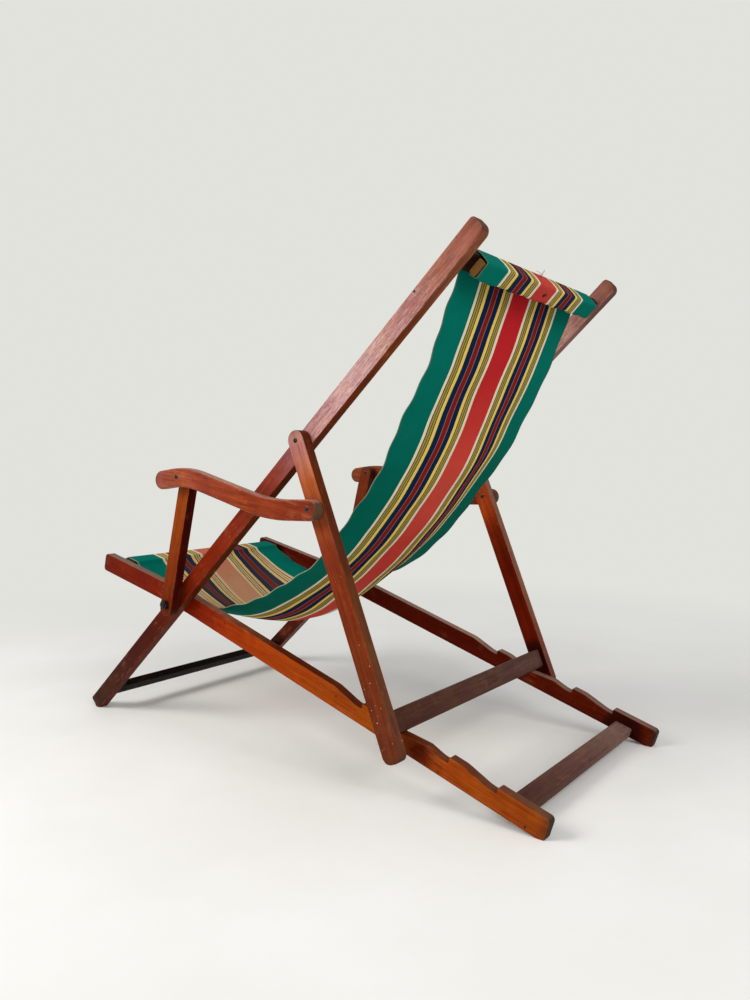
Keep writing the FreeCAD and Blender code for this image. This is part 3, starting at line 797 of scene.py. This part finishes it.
# %% Push the grid into shape
half_width = 0.2285
columns = np.linspace(-1, 1, 73)
grid = []
for column in columns:
    near, far = max(column, 0), max(-column, 0)
    far_turn = np.clip((far - 0.2) / 0.7, 0, 1)
    far_turn = far_turn ** 2 * (3 - 2 * far_turn)
    push = bag * (1 - near ** near_power - far_turn) - far_tight * far_turn
    push += near_wave * near ** 5 + far_wave * far ** 5
    push -= far_curl * np.clip((far - 0.84) / 0.16, 0, 1) ** 2
    push += 0.0008 * held * np.sin(along * 48 + 5 * column) * (1 - column ** 2)
    droop = 0.0011 * math.sin(17 * column + 0.6) + 0.0008 * math.sin(41 * column + 2)
    roll_rows = top_rows - down_share[:, None] * droop * stile_way
    grid.append(np.vstack((front_rows[:-1], hung + outward * push[:, None], roll_rows[1:])))
grid = np.array(grid)
print("grid", grid.shape[:2])

# %% [markdown]
# ## From a grid to cloth
# The grid gets its thickness by hand, half to each side along its own normals, so that the seat side and
# the underside can carry different finishes: the seat side has faded. A UV map keeps the cloth's own
# measures: the first axis from selvage to selvage, the second in metres along the strip.

# %% Two skins and a rim
count_x, count_s = grid.shape[:2]
total = count_x * count_s
middle = np.zeros((count_x, count_s, 3))
middle[:, :, 0] = columns[:, None] * half_width
middle[:, :, 1:] = grid
normal = np.cross(np.gradient(middle, axis=0), np.gradient(middle, axis=1))
normal /= np.linalg.norm(normal, axis=2)[:, :, None]
skins = [(middle + side * normal * cloth / 2).reshape(-1, 3) for side in (1, -1)]
faces, face_side = [], []
for i in range(count_x - 1):
    for j in range(count_s - 1):
        a, b = i * count_s + j, (i + 1) * count_s + j
        faces += [(a, b, b + 1, a + 1), (a + total, a + 1 + total, b + 1 + total, b + total)]
        face_side += [0, 1]
rim = [i * count_s for i in range(count_x)]
rim += [(count_x - 1) * count_s + j for j in range(1, count_s)]
rim += [i * count_s + count_s - 1 for i in range(count_x - 2, -1, -1)]
rim += list(range(count_s - 2, 0, -1))
for a, b in zip(rim, rim[1:] + rim[:1]):
    faces.append((b, a, a + total, b + total))
    face_side.append(0)
print("canvas faces", len(faces), "of which rim", len(rim))

# %% Make the canvas mesh
sling_mesh = bpy.data.meshes.new("canvas_sling")
sling_mesh.from_pydata(np.concatenate(skins).tolist(), [], faces)
sling_mesh.polygons.foreach_set("material_index", face_side)
sling_mesh.polygons.foreach_set("use_smooth", [True] * len(faces))
spine = middle[count_x // 2]
run_length = np.concatenate(([0], np.cumsum(np.linalg.norm(np.diff(spine, axis=0), axis=1))))
corner_points = np.zeros(len(sling_mesh.loops), np.int32)
sling_mesh.loops.foreach_get("vertex_index", corner_points)
corner_points %= total
weave = np.stack(((columns[corner_points // count_s] + 1) / 2, run_length[corner_points % count_s]), axis=1)
sling_mesh.uv_layers.new(name="weave").data.foreach_set("uv", weave.astype(np.float32).ravel())
sling = add_object("canvas_sling", sling_mesh)
cloth_length = float(run_length[-1])
print("canvas length", round(cloth_length, 3), "m")

# %% [markdown]
# ## Striped canvas
# The stripes are woven in, so each runs straight along the cloth. Folding the map's first axis about the
# middle makes the mirrored pattern: one list of stripes from the middle out serves both halves. A stepped
# colour ramp gives clean woven edges. Threads come from two sets of waves, one along and one across, which
# also lift the surface a little.

# %% Stripe list
inner_half = [(0.075, "cream"), (0.018, "line"), (0.042, "olive"), (0.018, "line"), (0.044, "olive"),
              (0.018, "line"), (0.082, "yellow"), (0.132, "navy"), (0.014, "pink")]
outer_half = [(0.014, "pink"), (0.137, "navy"), (0.082, "yellow"), (0.018, "line"), (0.044, "olive"),
              (0.018, "line"), (0.042, "olive"), (0.018, "line"), (0.070, "cream")]
stripe_widths = inner_half + [(0.114, "brick")] + outer_half
centre_share, group_share, selvage_start = 0.147, 0.54, 0.992


def stripe_steps(dyes):
    """The stripes from the middle out, each as where it starts and its colour in one set of dyes."""
    steps = [(0.0, dyes["centre"])]
    start = centre_share
    for width, dye in stripe_widths:
        steps.append((start, dyes[dye]))
        start += width * group_share
    return steps + [(start, dyes["green"]), (selvage_start, dyes["selvage"])]


fresh_dyes = {"green": srgb(0, 104, 90), "cream": srgb(218, 206, 178), "olive": srgb(154, 136, 66),
              "yellow": srgb(222, 190, 96), "navy": srgb(8, 34, 64), "brick": srgb(116, 28, 24),
              "centre": srgb(176, 28, 36), "line": srgb(20, 16, 10), "pink": srgb(160, 100, 92),
              "selvage": srgb(78, 96, 80)}
sunned_dyes = {**fresh_dyes, "cream": srgb(204, 178, 134), "olive": srgb(206, 176, 124),
               "yellow": srgb(200, 172, 122), "navy": srgb(50, 50, 60), "brick": srgb(104, 44, 38),
               "pink": srgb(98, 74, 68), "centre": srgb(188, 137, 103), "selvage": srgb(150, 162, 136)}
coral_dyes = {**fresh_dyes, "centre": srgb(194, 72, 58), "green": srgb(0, 90, 76)}
print("stripes from the middle out", len(stripe_steps(fresh_dyes)))

# %% Bleached stripes
def bleached_stripes(tree, at, place, clouds, faded_dyes, fades):
    """The stripes, bleached along the cloth from fresh to faded dyes as the fades say, in clouds."""
    wander = calc(tree, "MULTIPLY_ADD", noise(tree, place, 26.0, 2.0), 0.006, -1.003)
    folded = calc(tree, "ABSOLUTE", calc(tree, "MULTIPLY_ADD", at[0], 2.0, wander))
    fresh = colour_steps(tree, folded, stripe_steps(fresh_dyes), "CONSTANT")
    faded = colour_steps(tree, folded, stripe_steps(faded_dyes), "CONSTANT")
    grey = [(metres / cloth_length, (level, level, level, 1.0)) for metres, level in fades]
    fade = colour_steps(tree, calc(tree, "DIVIDE", at[1], cloth_length), grey)
    cloudy = calc(tree, "MULTIPLY_ADD", clouds, 0.5, 0.75)
    return mix(tree, calc(tree, "MULTIPLY", fade, cloudy, clamp=True), fresh, faded)


print("bleached stripes ready")

# %% Threads and tear
warp_pitch, weft_pitch = 0.0011, 0.0013
tear_edge, tear_core = 0.0120, 0.0090


def crossed_threads(tree, at):
    """Waves of the warp along the cloth and the weft across it, from 0 to 1."""
    warp = calc(tree, "SINE", times(tree, at[0], 2 * math.pi * 2 * half_width / warp_pitch))
    weft = calc(tree, "SINE", times(tree, at[1], 2 * math.pi / weft_pitch))
    return calc(tree, "MULTIPLY_ADD", times(tree, warp, weft), 0.5, 0.5)


def torn_share(tree, at, place, tear):
    """1 inside a ragged tear at a place in the cloth's own measures."""
    off_u = times(tree, calc(tree, "SUBTRACT", at[0], tear[0]), 2 * half_width)
    off_v = times(tree, calc(tree, "SUBTRACT", at[1], tear[1]), 1.6)
    away = calc(tree, "SQRT", calc(tree, "MULTIPLY_ADD", off_u, off_u, times(tree, off_v, off_v)))
    ragged = calc(tree, "MULTIPLY_ADD", noise(tree, place, 260.0, 3.0), 0.009, away)
    return between(tree, ragged, tear_edge, tear_core)


print("threads and tear ready")

# %% Canvas finish
weave_relief = 0.001


def canvas(name, faded_dyes, fades, dust, tear=None):
    """Striped canvas; fades say along the cloth, in metres, how far the dyes have bleached."""
    material, tree, shader = new_finish(name)
    at = node(tree, "SeparateXYZ", {0: node(tree, "UVMap", uv_map="weave").outputs[0]}).outputs
    place = node(tree, "TexCoord").outputs["Object"]
    clouds = noise(tree, place, 7.0, 4.0, 0.6)
    colour = bleached_stripes(tree, at, place, clouds, faded_dyes, fades)
    threads = crossed_threads(tree, at)
    slub = noise(tree, node(tree, "Mapping", {"Vector": place, "Scale": (900, 60, 60)}).outputs[0], 1.0)
    shade = calc(tree, "MULTIPLY_ADD", threads, 0.16, calc(tree, "MULTIPLY_ADD", slub, 0.24, 0.80))
    shade = times(tree, shade, calc(tree, "MULTIPLY_ADD", clouds, 0.24, 0.88))
    thread_grey = node(tree, "CombineColor", {0: shade, 1: shade, 2: shade}).outputs[0]
    colour = mix(tree, 1.0, colour, thread_grey, "MULTIPLY")
    soil = between(tree, noise(tree, place, 16.0, 5.0, 0.7), 0.56, 0.78)
    colour = cover(tree, colour, srgb(104, 90, 72), soil, dust)
    if tear is not None:
        colour = cover(tree, colour, srgb(52, 14, 16), torn_share(tree, at, place, tear))
    dullness = calc(tree, "MULTIPLY_ADD", threads, 0.08, 0.82)
    creases = noise(tree, place, 38.0, 3.0, 0.6)
    height = calc(tree, "MULTIPLY_ADD", threads, 0.25, times(tree, creases, 1.6))
    wire(tree, shader, colour, dullness, height, weave_relief, 0.35)
    shader.inputs["Specular IOR Level"].default_value = 0.02
    return material


print("canvas finish ready")

# %% Dress the canvas
tack_x = -0.0068
roll_tack = side_point(main_pivot, stile_slope, 0.9251, batten_back - 0.0043 - cloth / 2)
tack_row = int(np.argmin(np.linalg.norm(spine[:, 1:] - roll_tack, axis=1)))
tear = ((tack_x / half_width + 1) / 2, float(run_length[tack_row]))
seat_fades = [(0.0, 0.35), (0.09, 0.5), (0.2, 1.0), (0.75, 0.95), (1.15, 0.6), (1.38, 0.2), (1.45, 0.12)]
under_fades = [(0.0, 0.5), (0.5, 0.9), (0.75, 0.62), (0.95, 0.9), (1.08, 0.45), (1.2, 0.1), (1.4, 0.0)]
seat_canvas = canvas("seat_canvas", sunned_dyes, seat_fades, 0.07, tear)
under_canvas = canvas("under_canvas", coral_dyes, under_fades, 0.03)
seat_side_first = normal[count_x // 2, count_s // 3][2] > 0
for material in (seat_canvas, under_canvas) if seat_side_first else (under_canvas, seat_canvas):
    sling_mesh.materials.append(material)
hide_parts("sling_panel", "sling_top_roll", "sling_front_roll")
print("seat side comes first", bool(seat_side_first))

# %% [markdown]
# ## Nails and tacks
# Small heads hold the chair together: nails through the sticks into the bars, and tacks along the hems. A
# head is round, so half its outline is drawn once and spun about its axis, as a lathe would turn it. The
# tacks under the front hem are one mesh, because they are the same small part many times over.

# %% Turn the heads
head_sides = 20


def turned_heads(name, outline, places, facing, body):
    """Round heads spun from half an outline of (radius, height), set on a face that looks one way."""
    head = bmesh.new()
    spots = [head.verts.new((radius, 0, height)) for radius, height in outline]
    lines = [head.edges.new(pair) for pair in zip(spots, spots[1:])]
    bmesh.ops.spin(head, geom=spots + lines, axis=(0, 0, 1), cent=(0, 0, 0), angle=2 * math.pi,
                   steps=head_sides)
    bmesh.ops.remove_doubles(head, verts=head.verts[:], dist=1e-6)
    bmesh.ops.recalc_face_normals(head, faces=head.faces[:])
    head_mesh = bpy.data.meshes.new(name)
    head.to_mesh(head_mesh)
    head.free()
    turn = Vector((0, 0, 1)).rotation_difference(Vector(facing)).to_matrix().to_4x4()
    whole = bmesh.new()
    for place in places:
        before = len(whole.verts)
        whole.from_mesh(head_mesh)
        whole.verts.ensure_lookup_table()
        bmesh.ops.transform(whole, matrix=Matrix.Translation(place) @ turn, verts=whole.verts[before:])
    whole.to_mesh(head_mesh)
    whole.free()
    head_mesh.polygons.foreach_set("use_smooth", [True] * len(head_mesh.polygons))
    head_mesh.materials.append(plain_steel)
    made = add_object(name, head_mesh)
    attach(made, body)


print("head turning ready")

# %% Set the heads
def across_way(slope):
    """The direction across a stick, upward, in the chair's frame."""
    return Vector((0, -math.sin(slope), math.cos(slope)))


nail_outline = [(0, -0.002), (0.0009, -0.002), (0.0009, 0), (0.0021, 0.0001), (0.0022, 0.0004),
                (0.0018, 0.0007), (0.0008, 0.0006), (0, 0.0005)]
tack_outline = [(0, -0.002), (0.0007, -0.002), (0.0008, 0), (0.0032, 0.0001), (0.0030, 0.0007),
                (0.0018, 0.0012), (0, 0.0014)]
stile_nail = side_point(main_pivot, stile_slope, 0.838, 0.013)
rail_nail = side_point(main_pivot, rail_slope, 0.847, -0.013)
for side, sign, outer in (("left", 1, 1), ("right", -1, 0)):
    outward_way = (sign, 0, 0)
    stile_place = (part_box(side + "_back_stile")[outer][0], *stile_nail)
    rail_place = (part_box(side + "_seat_rail")[outer][0], *rail_nail)
    turned_heads(side + "_stile_nail", nail_outline, [stile_place], outward_way, "back_frame")
    turned_heads(side + "_rail_nail", nail_outline, [rail_place], outward_way, "seat_frame")
hem_under = side_point(main_pivot, rail_front_slope, -0.230, front_under - cloth / 2)
hem_marks = np.linspace(-0.205, 0.205, 10)
turned_heads("front_hem_tacks", tack_outline, [(x, *hem_under) for x in hem_marks],
             -across_way(rail_front_slope), "seat_frame")
turned_heads("roll_tack", tack_outline, [(tack_x, *roll_tack)], -across_way(stile_slope), "back_frame")
print("heads", 4 + len(hem_marks) + 1)

# %% [markdown]
# ## Loose threads
# On top of the roll a few threads have come out of the weave. Each is a thin round curve with a free end,
# so a curve object with a small bevel is enough, and its handles give the curl.

# %% Pull the threads
thread_data = bpy.data.curves.new("loose_threads", "CURVE")
thread_data.dimensions = "3D"
thread_data.bevel_depth = 0.0003
thread_root = side_point(main_pivot, stile_slope, top_along[1] + lift, top_across[0])
thread_tips = [(0.010, -0.006, 0.014), (-0.004, 0.004, 0.017), (0.016, 0.006, 0.008),
               (-0.010, -0.002, 0.010), (0.004, 0.009, 0.012)]
for number, (right_by, back_by, up_by) in enumerate(thread_tips):
    strand = thread_data.splines.new("BEZIER")
    strand.bezier_points.add(1)
    root = Vector((0.006 + 0.0012 * number, *thread_root))
    tip = root + Vector((right_by, back_by, up_by))
    for point, spot, lean in zip(strand.bezier_points, (root, tip), (0.008, -0.005)):
        point.co = spot
        point.handle_left = spot - Vector((0, 0, lean))
        point.handle_right = spot + Vector((0, 0, lean))
threads = add_object("loose_threads", thread_data)
thread_finish, tree, shader = new_finish("thread")
along_thread = noise(tree, node(tree, "TexCoord").outputs["Object"], 300.0, 2.0)
thread_colour = mix(tree, along_thread, srgb(120, 40, 36), srgb(170, 120, 90))
tree.links.new(thread_colour, shader.inputs["Base Color"])
shader.inputs["Roughness"].default_value = 0.9
thread_data.materials.append(thread_finish)
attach(threads, "back_frame")
print("loose threads", len(thread_tips))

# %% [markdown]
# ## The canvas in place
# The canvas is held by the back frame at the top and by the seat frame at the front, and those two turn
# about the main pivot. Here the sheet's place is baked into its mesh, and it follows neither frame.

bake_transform(sling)

# %% [markdown]
# ## Sizes
# The box round the whole chair, with the canvas and the small heads, is measured and printed.

low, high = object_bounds()
print("visual box", [round(v, 3) for v in (*low, *high)])
